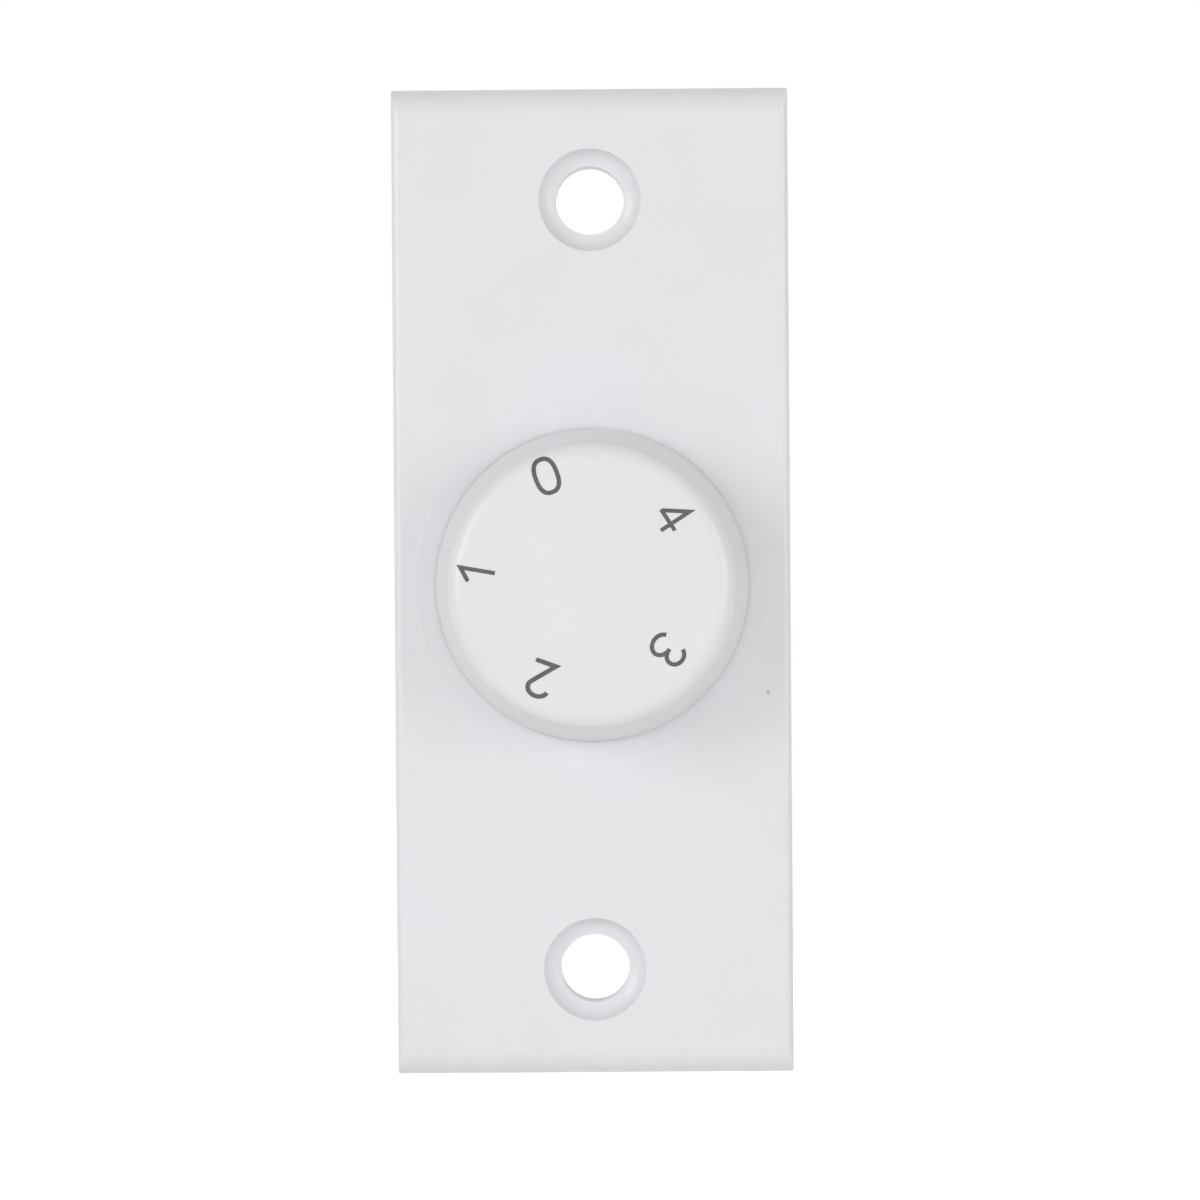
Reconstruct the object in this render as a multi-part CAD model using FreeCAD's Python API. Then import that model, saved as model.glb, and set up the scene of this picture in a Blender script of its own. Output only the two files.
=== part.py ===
import FreeCAD, Part
import math
import os

# A rotary fan speed switch on a narrow wall plate, in millimetres.
# X points right and Z up as the switch is seen on the wall, and Y points into the wall.
# The origin lies midway between the two fixing holes, in the plane of the wall.
# The knob and all that turns with it turn about the Y axis.
# The switch is modelled at rest in its off position.

# Wall plate
plate_width = 43.6
plate_height = 108.0
plate_rise = 0.35
plate_depth = 6.5
plate_draft = 0.2
plate_wall = 2.2
rim_wall = 2.0
side_round = 0.8
end_round = 2.8
corner_round = 0.3
hole_spacing = 84.0
fixing_hole_r = 3.75
sink_r = 5.6
sink_depth = 1.6
sink_hollow = 0.35
pillar_wall = 1.8
web_thick = 1.6
web_setback = 1.2
dish_r = 19.2
dish_depth = 0.2
dish_slope = 3.4
dish_hollow = 0.04
pad_r = 11.0
pad_thick = 0.8
lip_thick = 1.0
lip_height = 1.2

# Knob
knob_base_r = 17.05
knob_shoulder_r = 15.2
knob_height = 11.0
knob_round = 1.8
knob_wall = 1.8
knob_gap = 0.35
hub_r = 5.2
hub_clip_gap = 0.8
knob_rib_count = 6
knob_rib_thick = 1.0
knob_rib_height = 3.0
knob_spring_thick = 0.4
knob_spring_width = 3.2
knob_spring_foot = 1.3

# Spindle, bush and their fixings
spindle_r = 3.0
spindle_flat_depth = 1.5
spindle_end_gap = 0.5
spindle_tip_chamfer = 0.4
drive_flats = 4.4
journal_r = 1.55
bush_r = 5.0
bush_beyond_nut = 0.8
bush_chamfer = 0.4
bush_plate_side = 25.0
bush_plate_corner = 2.0
bush_plate_thick = 1.2
pip_r = 1.2
pip_height = 1.1
pip_offset = 8.6
nut_flats = 14.0
nut_thick = 2.5
nut_bevel = 30.0
washer_r = 7.6
washer_thick = 0.6
washer_teeth = 12
washer_tooth_depth = 1.1
clip_thick = 0.6
clip_r = 4.6
clip_mouth = 3.4
groove_depth = 0.7

# Rotary switch
case_margin = 0.5
case_corner = 2.5
case_depth = 11.0
case_floor = 2.0
case_wall = 2.0
positions = 5
cam_tip_r = 8.4
cam_root_r = 7.4
cam_hollow_r = 3.5
cam_thick = 3.0
cam_gap = 0.4
carrier_r = 6.6
carrier_thick = 1.8
peg_r = 0.6
peg_height = 0.9
peg_offset = 4.6
leaf_thick = 0.4
leaf_width = 3.6
leaf_half_length = 8.0
leaf_bump_r = 1.55
leaf_lift_room = 1.4
leaf_room_half = 4.0
wiper_thick = 0.35
wiper_r = 5.6
wiper_bore_r = 2.6
wiper_arm_width = 2.2
wiper_edge = 1.4
wiper_pad = 0.35
wiper_tip = 0.35
contact_thick = 0.6
contact_r = 1.3
contact_chamfer = 0.2
contact_track_r = 7.6
common_inner_r = 2.5
common_outer_r = 4.6
tail_thick = 0.6
tail_width = 1.6
tail_beyond_board = 0.8
rivet_inset = 2.3
rivet_r = 1.2
rivet_head_r = 2.0
rivet_head_height = 0.6
rivet_head_chamfer = 0.3

# Circuit board and what it carries
board_gap = 0.6
board_corner = 1.0
board_thick = 1.6
lead_r = 0.4
lead_beyond_board = 0.8
capacitor_height = 17.5
capacitor_side_inset = 1.6
capacitor_gap = 1.5
capacitor_block_gap = 7.15
capacitor_edge = 1.0
capacitor_foot = 1.2
capacitor_foot_side = 2.0
capacitor_lead_inset = 1.5
resistor_r = 1.75
resistor_length = 9.0
resistor_end_r = 1.95
resistor_end_length = 1.8
resistor_end_chamfer = 0.3
resistor_lead_x = 7.5
resistor_bend = 0.8
resistor_inset = 3.4
resistor_spacing = 4.8

# Terminal block, its clamps and their screws
block_width = 17.0
block_length = 11.5
block_height = 12.0
block_inset = 0.8
block_wall = 1.5
block_edge = 0.75
pole_offset = 4.2
clamp_width = 6.0
clamp_length = 7.0
clamp_height = 7.0
clamp_rise = 2.0
wire_bore_r = 1.7
wire_bore_rise = 2.5
wire_mouth_r = 2.2
terminal_screw_r = 1.25
terminal_head_r = 2.2
terminal_head_height = 1.6
terminal_head_drop = 0.5
terminal_pin_r = 0.6
slot_width = 0.7
slot_depth = 0.8
screw_tip_share = 0.6
screw_head_chamfer = 0.4

# Rear housing and the screws that hold it
housing_side_inset = 2.75
housing_end_inset = 10.0
housing_corner = 3.0
housing_taper = 0.7
housing_wall = 1.6
housing_rear_round = 1.8
housing_rear_gap = 1.4
rib_thick = 1.4
rib_reach = 1.6
side_rib_gap = 2.25
end_rib_offset = 11.0
lug_offset_x = 12.0
lug_reach = 3.0
lug_r = 2.9
lug_thick = 2.0
boss_r = 2.6
boss_height = 3.5
boss_skin = 1.2
screw_r = 1.1
screw_head_r = 2.3
screw_head_height = 1.5
screw_tip_gap = 0.3
driver_hole_r = 2.6
wire_hole_r = 2.6

# Clearances
turning_fit = 0.05
pin_fit = 0.1
seat_fit = 0.2
contact_gap = 0.1

# Planes through the switch, from the knob to the rear of the housing
front_y = -plate_depth
inner_y = front_y + plate_wall
dish_y = front_y + dish_depth
pad_y = inner_y + pad_thick
nut_back_y = dish_y - washer_thick
nut_front_y = nut_back_y - nut_thick
bush_front_y = nut_front_y - bush_beyond_nut
clip_back_y = bush_front_y - contact_gap
clip_front_y = clip_back_y - clip_thick
hub_back_y = clip_front_y - hub_clip_gap
spring_back_y = hub_back_y + knob_spring_thick + turning_fit
knob_back_y = dish_y - knob_gap
knob_front_y = knob_back_y - knob_height
knob_ceiling_y = knob_front_y + knob_wall
spindle_front_y = knob_ceiling_y + spindle_end_gap
case_front_y = pad_y + bush_plate_thick
case_back_y = case_front_y + case_depth
case_floor_y = case_back_y - case_floor
cam_front_y = case_front_y + cam_gap
cam_back_y = cam_front_y + cam_thick
carrier_back_y = cam_back_y + carrier_thick
contact_y = case_floor_y - contact_thick
board_back_y = case_back_y + board_thick
tail_end_y = board_back_y + tail_beyond_board
capacitor_y = board_back_y + capacitor_foot
capacitor_back_y = capacitor_y + capacitor_height
housing_floor_y = capacitor_back_y + housing_rear_gap
housing_back_y = housing_floor_y + housing_wall
lug_front_y = inner_y + boss_height
lug_back_y = lug_front_y + lug_thick
screw_tip_y = front_y + boss_skin + screw_tip_gap
clamp_y = board_back_y + clamp_rise
clamp_back_y = clamp_y + clamp_height
wire_y = clamp_y + wire_bore_rise
block_back_y = board_back_y + block_height

# Sizes that follow from the ones above
pillar_r = fixing_hole_r + pillar_wall
case_side = bush_plate_side + 2 * case_margin
case_bore_r = case_side / 2 - case_wall
rivet_offset = bush_plate_side / 2 - rivet_inset
housing_width = plate_width - 2 * housing_side_inset
housing_height = hole_spacing - 2 * housing_end_inset
lug_offset_z = housing_height / 2 + lug_reach
board_width = housing_width - 2 * (housing_wall + board_gap)
board_height = housing_height - 2 * (housing_wall + board_gap)
leaf_z = cam_root_r + turning_fit + leaf_bump_r
step_angle = 360.0 / positions
half_step = step_angle / 2
block_bottom_z = block_inset - board_height / 2
block_top_z = block_bottom_z + block_length
block_z = block_bottom_z + block_length / 2
clamp_bottom_z = block_bottom_z + block_wall
clamp_top_z = clamp_bottom_z + clamp_length
clamp_middle_z = clamp_bottom_z + clamp_length / 2
resistor_1_z = board_height / 2 - resistor_inset
resistor_2_z = resistor_1_z - resistor_spacing
capacitor_top_z = resistor_2_z - resistor_end_r - capacitor_gap
capacitor_bottom_z = block_top_z + capacitor_block_gap
capacitor_thick = (capacitor_top_z - capacitor_bottom_z - capacitor_gap) / 2
capacitor_length = board_width - 2 * capacitor_side_inset
capacitor_lead_x = capacitor_length / 2 - capacitor_lead_inset
capacitor_1_z = capacitor_top_z - capacitor_thick / 2
capacitor_2_z = capacitor_bottom_z + capacitor_thick / 2

V = FreeCAD.Vector
inward = V(0, 1, 0)
tolerance = 0.01

# How far cutters run past the faces that they cut
over = 1.0


def box(x0, x1, y0, y1, z0, z1):
    """Block between two limits on each axis."""
    return Part.makeBox(x1 - x0, y1 - y0, z1 - z0, V(x0, y0, z0))


def rod(radius, y0, y1, x=0.0, z=0.0):
    """Round rod along Y."""
    return Part.makeCylinder(radius, y1 - y0, V(x, y0, z), inward)


def upright(radius, z0, z1, x, y):
    """Round rod along Z."""
    return Part.makeCylinder(radius, z1 - z0, V(x, y, z0), V(0, 0, 1))


def rectangle(width, height, y):
    """Sharp rectangle about the axis, in the plane at y."""
    x, z = width / 2, height / 2
    corners = [V(-x, y, -z), V(x, y, -z), V(x, y, z), V(-x, y, z)]
    return Part.makePolygon(corners + corners[:1])


def rounded_rectangle(width, height, corner, y):
    """Rectangle with round corners about the axis, in the plane at y."""
    x, z = width / 2 - corner, height / 2 - corner
    edges = []
    centres = [(x, z), (-x, z), (-x, -z), (x, -z)]
    for turn, (cx, cz) in enumerate(centres):
        ends = []
        for share in (0.0, 0.5, 1.0):
            angle = math.radians(90 * (turn + share))
            ends.append(V(cx + corner * math.cos(angle), y, cz + corner * math.sin(angle)))
        if edges:
            edges.append(Part.makeLine(edges[-1].Vertexes[-1].Point, ends[0]))
        edges.append(Part.Arc(*ends).toShape())
    edges.append(Part.makeLine(edges[-1].Vertexes[-1].Point, edges[0].Vertexes[0].Point))
    return Part.Wire(edges)


def slab(width, height, corner, y0, y1):
    """Flat plate with round corners about the axis."""
    return Part.Face(rounded_rectangle(width, height, corner, y0)).extrude(V(0, y1 - y0, 0))


def turned(points):
    """Solid turned about the axis from (radius, y) points."""
    corners = [V(r, y, 0) for r, y in points]
    outline = Part.makePolygon(corners + corners[:1])
    return Part.Face(outline).revolve(V(0, 0, 0), inward, 360)


def turn_to(shape, angle):
    """Copy turned clockwise about the axis, as seen from the front."""
    copy = shape.copy()
    copy.rotate(V(0, 0, 0), inward, angle)
    return copy


def polar(radius, angle, y):
    """Point at this radius and clockwise angle from the top, in the plane at y."""
    turn = math.radians(angle)
    return V(radius * math.sin(turn), y, radius * math.cos(turn))


def turn_point(point, angle):
    """Point turned clockwise about the axis."""
    return FreeCAD.Rotation(inward, angle).multVec(point)


def round_edges(shape, radius, wanted):
    """Round the edges that the test picks."""
    return shape.makeFillet(radius, [edge for edge in shape.Edges if wanted(edge)])


def circle_at(radius, y):
    """Test for a round edge about a line along Y, with this radius and place on Y."""
    def test(edge):
        bounds = edge.BoundBox
        at_y = abs(bounds.YMin - y) + abs(bounds.YMax - y) < tolerance
        full_x = abs(bounds.XLength - 2 * radius) < tolerance
        full_z = abs(bounds.ZLength - 2 * radius) < tolerance
        return at_y and full_x and full_z
    return test


def bent_strip(points, thickness, width):
    """Strip of sheet metal whose inner face runs through the points.

    The vector width gives the strip's width and the direction across it.
    """
    across = V(width).normalize()
    runs = zip(points, points[1:])
    sides = [(end - start).cross(across).normalize() for start, end in runs]
    mitres = [sides[0]]
    for before, after in zip(sides, sides[1:]):
        mitres.append((before + after) * (1 / (1 + before.dot(after))))
    mitres.append(sides[-1])
    outer = [point + mitre * thickness for point, mitre in zip(points, mitres)]
    outline = Part.makePolygon(points + outer[::-1] + points[:1])
    outline.translate(width * -0.5)
    return Part.Face(outline).extrude(width)


def corners_of(x, z):
    """The four places at plus and minus x and z."""
    return [(x, z), (-x, z), (-x, -z), (x, -z)]


def wall_plate():
    """Moulded plate with its dish, countersunk holes, pillars, bosses and locating lip."""
    plate = plate_block()
    inner_x = plate_width / 2 - rim_wall
    inner_z = plate_height / 2 - rim_wall
    plate = plate.cut(slab(2 * inner_x, 2 * inner_z, side_round, inner_y, over))
    plate.translate(V(0, 0, plate_rise))

    behind = [rod(pad_r, inner_y, pad_y)]
    for side in (-1, 1):
        z = side * hole_spacing / 2
        behind.append(rod(pillar_r, inner_y, 0, 0, z))
        web = box(-inner_x, inner_x, inner_y, -web_setback, z - web_thick / 2, z + web_thick / 2)
        behind.append(web)
        z0, z1 = sorted((z, side * inner_z + plate_rise))
        behind.append(box(-web_thick / 2, web_thick / 2, inner_y, -web_setback, z0, z1))
    lip_width = housing_width - 2 * housing_wall - 2 * seat_fit
    lip_length = housing_height - 2 * housing_wall - 2 * seat_fit
    lip_corner = housing_corner - housing_wall - seat_fit
    lip = slab(lip_width, lip_length, lip_corner, inner_y, inner_y + lip_height)
    lip_hole = rectangle(lip_width - 2 * lip_thick, lip_length - 2 * lip_thick, inner_y)
    behind.append(lip.cut(Part.Face(lip_hole).extrude(V(0, lip_height, 0))))
    for x, z in corners_of(lug_offset_x, lug_offset_z):
        behind.append(rod(boss_r, inner_y, lug_front_y, x, z))
    plate = plate.multiFuse(behind)

    holes = [rod(bush_r + seat_fit, front_y - over, over)]
    holes.append(rod(pip_r + pin_fit, pad_y - pip_height - seat_fit, pad_y + over, 0, pip_offset))
    for side in (-1, 1):
        z = side * hole_spacing / 2
        holes.append(rod(fixing_hole_r, front_y - over, over, 0, z))
        sink = bowl(sink_r, fixing_hole_r, sink_depth, sink_hollow)
        sink.translate(V(0, 0, z))
        holes.append(sink)
    for x, z in corners_of(lug_offset_x, lug_offset_z):
        holes.append(rod(screw_r + turning_fit, front_y + boss_skin, lug_front_y + over, x, z))
    holes.append(bowl(dish_r, dish_r - dish_slope, dish_depth, dish_hollow))
    return plate.cut(holes)


def plate_block():
    """Drafted block of the plate, rounded more along its two ends than along its sides."""
    narrow, low = plate_width - 2 * plate_draft, plate_height - 2 * plate_draft
    back = rounded_rectangle(plate_width, plate_height, corner_round, 0)
    front = rounded_rectangle(narrow, low, corner_round, front_y)
    block = Part.makeLoft([back, front], True)
    sides = front_bar(plate_width, narrow, side_round, plate_height)
    ends = front_bar(plate_height, low, end_round, plate_width)
    ends.rotate(V(0, 0, 0), inward, 90)
    return block.common(sides).common(ends)


def front_bar(back_width, front_width, radius, length):
    """Long bar along Z with a drafted section, whose two front edges are rounded."""
    x0, x1 = back_width / 2, front_width / 2
    corners = [V(-x0, 0, 0), V(x0, 0, 0), V(x1, front_y, 0), V(-x1, front_y, 0)]
    section = Part.Face(Part.makePolygon(corners + corners[:1]))
    section.translate(V(0, 0, -length / 2 - over))
    bar = section.extrude(V(0, 0, length + 2 * over))
    return round_edges(bar, radius, lambda edge: (edge.BoundBox.ZLength > length
                                                  and edge.BoundBox.YMax < inner_y))


def bowl(outer_r, floor_r, depth, hollow):
    """Cutter about the axis for a sink in the plate's face, hollow between its rim and floor."""
    rim = V(outer_r, front_y, 0)
    foot = V(floor_r, front_y + depth, 0)
    chord = foot - rim
    across = V(-chord.y, chord.x, 0).normalize()
    if across.x < 0:
        across = across * -1
    middle = (rim + foot) * 0.5 + across * hollow
    above = V(0, -1, 0)
    centre = V(0, foot.y, 0)
    edges = [
        Part.makeLine(V(0, front_y, 0) + above, rim + above),
        Part.makeLine(rim + above, rim),
        Part.Arc(rim, middle, foot).toShape(),
        Part.makeLine(foot, centre),
        Part.makeLine(centre, V(0, front_y, 0) + above),
    ]
    return Part.Face(Part.Wire(edges)).revolve(V(0, 0, 0), inward, 360)


def control_knob():
    """Hollow moulded knob with a flat face, and a ribbed hub for the spindle's flat."""
    inner_top_r = knob_shoulder_r - knob_wall
    knob = turned([
        (0, knob_front_y),
        (knob_shoulder_r, knob_front_y),
        (knob_base_r, knob_back_y),
        (knob_base_r - knob_wall, knob_back_y),
        (inner_top_r, knob_ceiling_y),
        (0, knob_ceiling_y),
    ])
    knob = round_edges(knob, knob_round, circle_at(knob_shoulder_r, knob_front_y))

    rib_back_y = knob_ceiling_y + knob_rib_height
    inside = [rod(hub_r, knob_ceiling_y, hub_back_y)]
    rib = box(-knob_rib_thick / 2, knob_rib_thick / 2, knob_ceiling_y, rib_back_y, 0, inner_top_r)
    for count in range(knob_rib_count):
        inside.append(turn_to(rib, 360.0 / knob_rib_count * (count + 0.5)))
    knob = knob.multiFuse(inside)

    flat_z = spindle_r - spindle_flat_depth + knob_spring_thick + 2 * turning_fit
    bore = rod(spindle_r + turning_fit, knob_ceiling_y, hub_back_y + over)
    above = box(-hub_r, hub_r, knob_ceiling_y, hub_back_y + over, flat_z, hub_r)
    return knob.cut(bore.cut(above))


def knob_spring():
    """Steel leaf between the spindle's flat and the knob, with a foot over the hub's end."""
    flat_z = spindle_r - spindle_flat_depth + turning_fit
    top = V(0, knob_ceiling_y + spindle_end_gap, flat_z)
    bend = V(0, spring_back_y, flat_z)
    foot = V(0, bend.y, flat_z + knob_spring_thick + knob_spring_foot)
    width = V(knob_spring_width, 0, 0)
    return bent_strip([foot, bend, top], knob_spring_thick, width)


def switch_spindle():
    """Steel spindle with a flat for the knob, a clip groove, drive flats and a rear journal."""
    groove_r = spindle_r - groove_depth
    tip = spindle_front_y + spindle_tip_chamfer
    spindle = turned([
        (0, spindle_front_y),
        (spindle_r - spindle_tip_chamfer, spindle_front_y),
        (spindle_r, tip),
        (spindle_r, clip_front_y),
        (groove_r, clip_front_y),
        (groove_r, clip_back_y),
        (spindle_r, clip_back_y),
        (spindle_r, carrier_back_y),
        (journal_r, carrier_back_y),
        (journal_r, case_back_y - seat_fit),
        (0, case_back_y - seat_fit),
    ])
    flat_z = spindle_r - spindle_flat_depth
    flat_back_y = spring_back_y + turning_fit
    flat = box(-spindle_r, spindle_r, spindle_front_y - over, flat_back_y, flat_z, spindle_r + over)
    side = box(drive_flats / 2, spindle_r + over, cam_front_y, carrier_back_y, -spindle_r, spindle_r)
    return spindle.cut([flat, side, turn_to(side, 180)])


def spindle_clip():
    """Open retaining ring in the spindle's groove."""
    inner_r = spindle_r - groove_depth + turning_fit
    ring = rod(clip_r, clip_front_y, clip_back_y).cut(rod(inner_r, clip_front_y, clip_back_y))
    mouth = box(-clip_mouth / 2, clip_mouth / 2, clip_front_y, clip_back_y, -clip_r, 0)
    return ring.cut(mouth)


def bush_plate():
    """Front plate of the switch, with its bush and the pip that keeps it from turning."""
    bush = turned([
        (0, bush_front_y),
        (bush_r - bush_chamfer, bush_front_y),
        (bush_r, bush_front_y + bush_chamfer),
        (bush_r, pad_y),
        (0, pad_y),
    ])
    plate = slab(bush_plate_side, bush_plate_side, bush_plate_corner, pad_y, case_front_y)
    pip = rod(pip_r, pad_y - pip_height, pad_y, 0, pip_offset)
    holes = [rod(spindle_r + turning_fit, bush_front_y - over, case_front_y + over)]
    for x, z in corners_of(rivet_offset, rivet_offset):
        holes.append(rod(rivet_r + turning_fit, pad_y - over, case_front_y + over, x, z))
    return plate.multiFuse([bush, pip]).cut(holes)


def fixing_nut():
    """Six-sided nut on the bush, with its corners turned off on both faces."""
    corner_r = nut_flats / 2 / math.cos(math.radians(30))
    corners = [V(corner_r * math.cos(math.radians(60 * k)), nut_front_y,
                 corner_r * math.sin(math.radians(60 * k))) for k in range(7)]
    nut = Part.Face(Part.makePolygon(corners)).extrude(V(0, nut_thick, 0))
    drop = corner_r - nut_flats / 2
    rise = drop * math.tan(math.radians(nut_bevel))
    rounding = turned([
        (0, nut_front_y),
        (corner_r - drop, nut_front_y),
        (corner_r, nut_front_y + rise),
        (corner_r, nut_back_y - rise),
        (corner_r - drop, nut_back_y),
        (0, nut_back_y),
    ])
    return nut.common(rounding).cut(rod(bush_r + turning_fit, nut_front_y - over, nut_back_y + over))


def lock_washer():
    """Washer with a ring of teeth between the nut and the plate."""
    washer = rod(washer_r, nut_back_y, dish_y)
    gap_half = math.radians(90.0 / washer_teeth)
    outer_r = washer_r + over
    inner_r = washer_r - washer_tooth_depth
    gap = Part.makePolygon([
        V(inner_r * math.sin(-gap_half), nut_back_y, inner_r * math.cos(gap_half)),
        V(outer_r * math.sin(-gap_half), nut_back_y, outer_r * math.cos(gap_half)),
        V(outer_r * math.sin(gap_half), nut_back_y, outer_r * math.cos(gap_half)),
        V(inner_r * math.sin(gap_half), nut_back_y, inner_r * math.cos(gap_half)),
        V(inner_r * math.sin(-gap_half), nut_back_y, inner_r * math.cos(gap_half)),
    ])
    gap = Part.Face(gap).extrude(V(0, washer_thick, 0))
    cuts = [turn_to(gap, 360.0 / washer_teeth * count) for count in range(washer_teeth)]
    cuts.append(rod(bush_r + turning_fit, nut_back_y - over, dish_y + over))
    return washer.cut(cuts)


def tail(x, z, angle, y0, clearance=0.0):
    """Flat solder tail of a contact, or with a clearance the slot that it passes through."""
    half_width = tail_width / 2 + clearance
    half_thick = tail_thick / 2 + clearance
    blade = box(-half_width, half_width, y0, tail_end_y, -half_thick, half_thick)
    blade = turn_to(blade, angle)
    blade.translate(V(x, 0, z))
    return blade


def contact_places():
    """Turn angle, x and z of each speed contact, in the order of the speeds."""
    places = []
    for speed in range(1, positions):
        angle = speed * step_angle
        x = contact_track_r * math.sin(math.radians(angle))
        z = contact_track_r * math.cos(math.radians(angle))
        places.append((angle, x, z))
    return places


def common_tail(clearance=0.0):
    """Solder tail under the common contact, or the slot that it passes through."""
    middle_r = (common_inner_r + common_outer_r) / 2
    angle = math.radians(half_step)
    x, z = middle_r * math.sin(angle), middle_r * math.cos(angle)
    return tail(x, z, half_step, case_floor_y, clearance)


def tail_slots():
    """Slots for all the contacts' tails, through the floor of the case and the board."""
    slots = [common_tail(pin_fit)]
    for angle, x, z in contact_places():
        slots.append(tail(x, z, angle, case_floor_y, pin_fit))
    return slots


def switch_case():
    """Moulded cup of the rotary switch, with a pocket for the detent leaf."""
    case = slab(case_side, case_side, case_corner, case_front_y, case_back_y)
    pocket_back_y = cam_back_y + pin_fit
    slot_x = leaf_half_length + seat_fit
    slot_top_z = leaf_z + leaf_thick + pin_fit
    cuts = [
        rod(case_bore_r, case_front_y - over, case_floor_y),
        rod(journal_r + turning_fit, case_floor_y - over, case_back_y + over),
        box(-slot_x, slot_x, case_front_y - over, pocket_back_y, leaf_z - pin_fit, slot_top_z),
        box(-leaf_room_half, leaf_room_half, case_front_y - over, pocket_back_y,
            0, leaf_z + leaf_lift_room),
    ]
    sink = rivet_head_height + seat_fit
    for x, z in corners_of(rivet_offset, rivet_offset):
        cuts.append(rod(rivet_r + turning_fit, case_front_y - over, case_back_y + over, x, z))
        cuts.append(rod(rivet_head_r + seat_fit, case_back_y - sink, case_back_y + over, x, z))
    return case.cut(cuts + tail_slots())


def cam_outline(y):
    """Five round lobes, with a hollow at each switch position that runs smoothly into them."""
    hollow_centre = cam_root_r + cam_hollow_r
    lean = math.cos(math.radians(half_step))
    across = cam_tip_r ** 2 + hollow_centre ** 2 - 2 * cam_tip_r * hollow_centre * lean
    lobe_r = (across - cam_hollow_r ** 2) / 2 / (cam_tip_r + cam_hollow_r - hollow_centre * lean)
    lobe_centre = cam_tip_r - lobe_r
    share = cam_hollow_r / (cam_hollow_r + lobe_r)
    edges = []
    for count in range(positions):
        middle = count * step_angle
        hollow = polar(hollow_centre, middle, y)
        before, after = [
            hollow + (polar(lobe_centre, middle + side * half_step, y) - hollow) * share
            for side in (-1, 1)
        ]
        edges.append(Part.Arc(before, polar(cam_root_r, middle, y), after).toShape())
        tip = polar(cam_tip_r, middle + half_step, y)
        edges.append(Part.Arc(after, tip, turn_point(before, step_angle)).toShape())
    return Part.Wire(edges)


def switch_rotor():
    """Moulded rotor: the detent cam, the wiper's carrier and the pegs that hold the wiper."""
    cam = Part.Face(cam_outline(cam_front_y)).extrude(V(0, cam_thick, 0))
    parts = [rod(carrier_r, cam_back_y, carrier_back_y)]
    for side in (-1, 1):
        peg_end_y = carrier_back_y + peg_height
        parts.append(rod(peg_r, carrier_back_y, peg_end_y, side * peg_offset, 0))
    rotor = cam.multiFuse(parts)
    bore = rod(spindle_r + turning_fit, cam_front_y - over, carrier_back_y + over)
    flat_x = drive_flats / 2 + turning_fit
    key = box(-flat_x, flat_x, cam_front_y - over, carrier_back_y + over, -case_side, case_side)
    return rotor.cut(bore.common(key))


def detent_spring():
    """Leaf spring with a round bump that drops into the cam at each position."""
    y0 = cam_front_y + (cam_thick - leaf_width) / 2 + seat_fit
    y1 = y0 + leaf_width - 2 * seat_fit
    leaf = box(-leaf_half_length, leaf_half_length, y0, y1, leaf_z, leaf_z + leaf_thick)
    inner_r = leaf_bump_r - leaf_thick
    bump = rod(leaf_bump_r, y0, y1, 0, leaf_z)
    bump = bump.cut(box(-leaf_bump_r, leaf_bump_r, y0, y1, leaf_z, leaf_z + leaf_bump_r))
    hollow = rod(inner_r, y0 - over, y1 + over, 0, leaf_z)
    groove = box(-inner_r, inner_r, y0 - over, y1 + over, leaf_z, leaf_z + leaf_thick)
    return leaf.fuse(bump).cut([hollow, groove])


def wiper_contact():
    """Bronze wiper: a plate on the rotor, an arm to the speed contacts and two inner fingers."""
    back_y = carrier_back_y + wiper_thick
    plate = rod(wiper_r, carrier_back_y, back_y).cut(rod(wiper_bore_r, carrier_back_y, back_y))
    rub_y = contact_y - contact_gap
    bend_y = rub_y - wiper_thick
    arm_points = [
        V(0, carrier_back_y, wiper_r - wiper_pad),
        V(0, carrier_back_y, wiper_r),
        V(0, bend_y, contact_track_r - wiper_pad),
        V(0, bend_y, contact_track_r + wiper_pad),
        V(0, bend_y - wiper_tip, contact_track_r + wiper_pad + 2 * wiper_tip),
    ]
    width = V(wiper_arm_width, 0, 0)
    arm = bent_strip(arm_points, wiper_thick, width)
    middle_r = (common_inner_r + common_outer_r) / 2
    window_z = wiper_edge - wiper_r
    window = box(-wiper_arm_width, wiper_arm_width, carrier_back_y - over, back_y + over,
                 window_z, 0)
    finger_points = [
        V(0, carrier_back_y, window_z - 2 * wiper_pad),
        V(0, carrier_back_y, window_z + wiper_pad),
        V(0, bend_y, -middle_r),
        V(0, bend_y, -middle_r + 2 * wiper_pad),
    ]
    finger = bent_strip(finger_points, wiper_thick, width)
    pegs = [rod(peg_r + turning_fit, carrier_back_y - over, back_y + over, side * peg_offset, 0)
            for side in (-1, 1)]
    return plate.cut(window).multiFuse([arm, finger]).cut(pegs)


def speed_contact(angle, x, z):
    """Round contact on the floor of the case, with its solder tail."""
    head = turned([
        (0, contact_y),
        (contact_r - contact_chamfer, contact_y),
        (contact_r, contact_y + contact_chamfer),
        (contact_r, case_floor_y),
        (0, case_floor_y),
    ])
    head.translate(V(x, 0, z))
    return head.fuse(tail(x, z, angle, case_floor_y))


def common_contact():
    """Ring that the wiper always touches, with its solder tail."""
    ring = rod(common_outer_r, contact_y, case_floor_y)
    ring = ring.cut(rod(common_inner_r, contact_y, case_floor_y))
    return ring.fuse(common_tail())


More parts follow.
